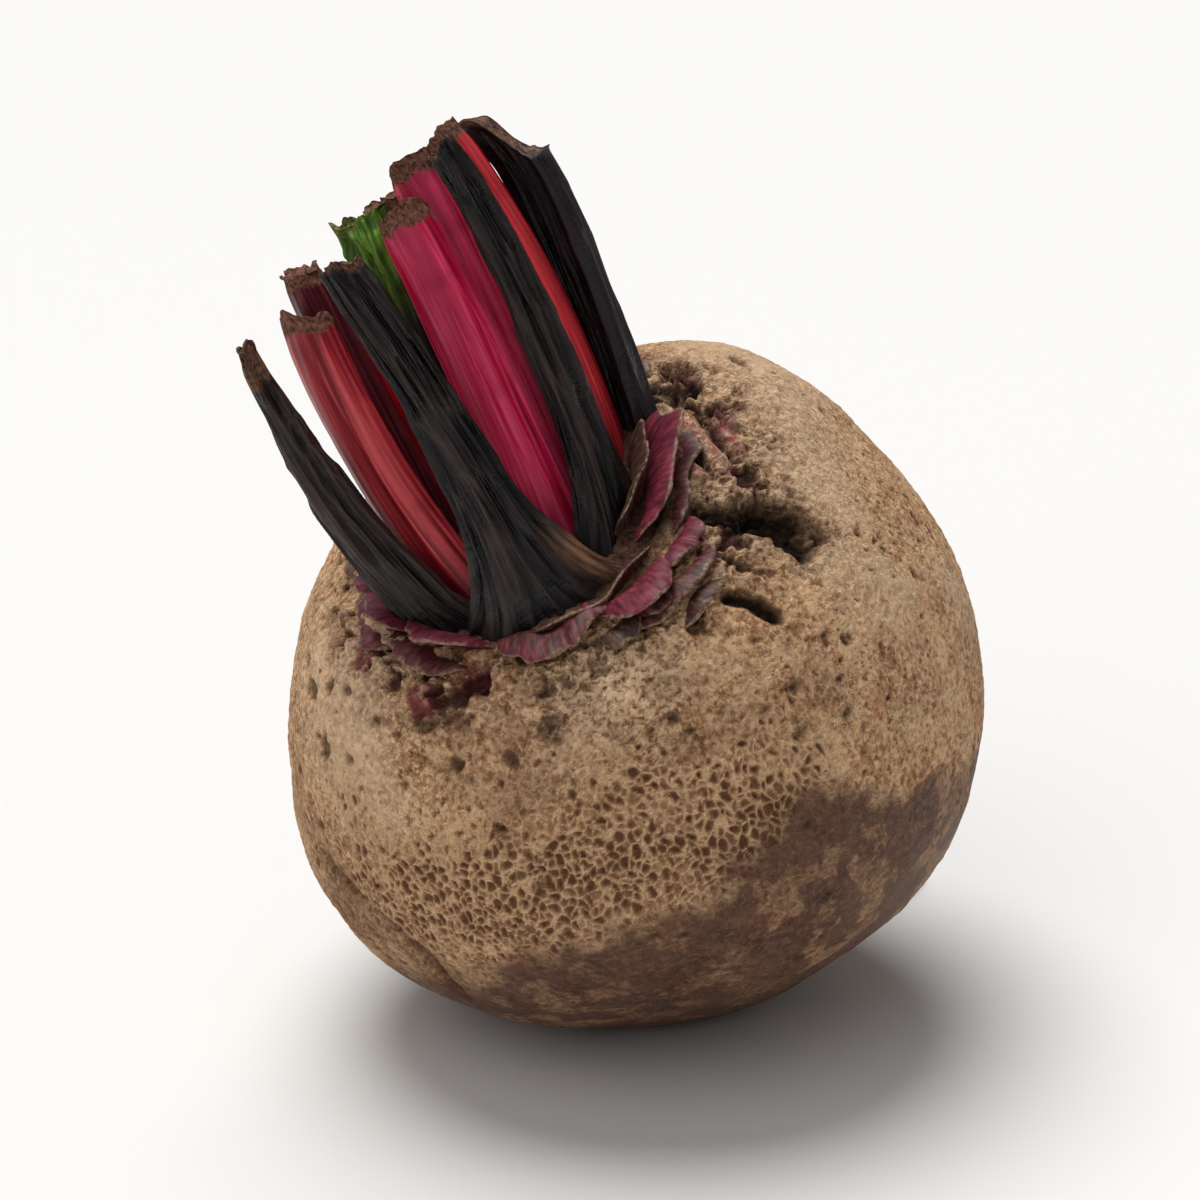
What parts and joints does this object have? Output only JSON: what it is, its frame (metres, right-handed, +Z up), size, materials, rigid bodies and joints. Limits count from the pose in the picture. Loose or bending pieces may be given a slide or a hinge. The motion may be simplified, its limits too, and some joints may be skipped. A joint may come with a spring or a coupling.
{
  "type": "beetroot",
  "caption": "Whole raw beetroot lying tilted on a small flat spot: rough round root with a curled tail, trimmed red and dried leaf stalks, and old leaf scales round the crown.",
  "frame": {"origin": "centre of the small flat spot on the underside of the root, on the surface that it lies on", "axes": "+Z up, +X to the right and +Y to the back; the root's crown leans forward and to the left, towards -X and -Y, and its tail trails to the back right"},
  "size_m": [0.0977, 0.0977, 0.1348],
  "materials": {
    "skin": "matt, corky, netted tan skin with dark pits, smoother and purplish brown underneath",
    "fresh_stalk": "satin, finely ribbed crimson to magenta stalk skin with brown dried cut ends",
    "maroon_stalk": "satin, dull dark red ribbed stalk skin",
    "dried_stalk": "wrinkled brown-black dried stalk with a patchy waxy shine",
    "young_leaf": "satin, crumpled green young leaf with a pale midrib",
    "scale": "semi-matt purple-red old leaf base with brown papery edges"
  },
  "bodies": {
    "root": {"dried_stalk_back": "dried_stalk", "dried_stalk_far_right": "dried_stalk", "dried_stalk_front": "dried_stalk", "dried_stalk_left": "dried_stalk", "dried_stalk_right": "dried_stalk", "maroon_stalk_left": "maroon_stalk", "red_stalk_back": "fresh_stalk", "red_stalk_back_left": "fresh_stalk", "red_stalk_back_right": "fresh_stalk", "red_stalk_front": "fresh_stalk", "red_stalk_left": "fresh_stalk", "red_stalk_middle": "fresh_stalk", "red_stalk_right": "fresh_stalk", "root": "skin", "scale_back_left": "scale", "scale_back_right": "scale", "scale_front": "scale", "scale_front_right": "scale", "scale_left": "scale", "scale_left_high": "scale", "scale_left_low": "scale", "scale_low_right": "scale", "scale_right": "scale", "young_leaf_back": "young_leaf", "young_leaf_front": "young_leaf", "young_stalk": "maroon_stalk"}
  },
  "joints": []
}
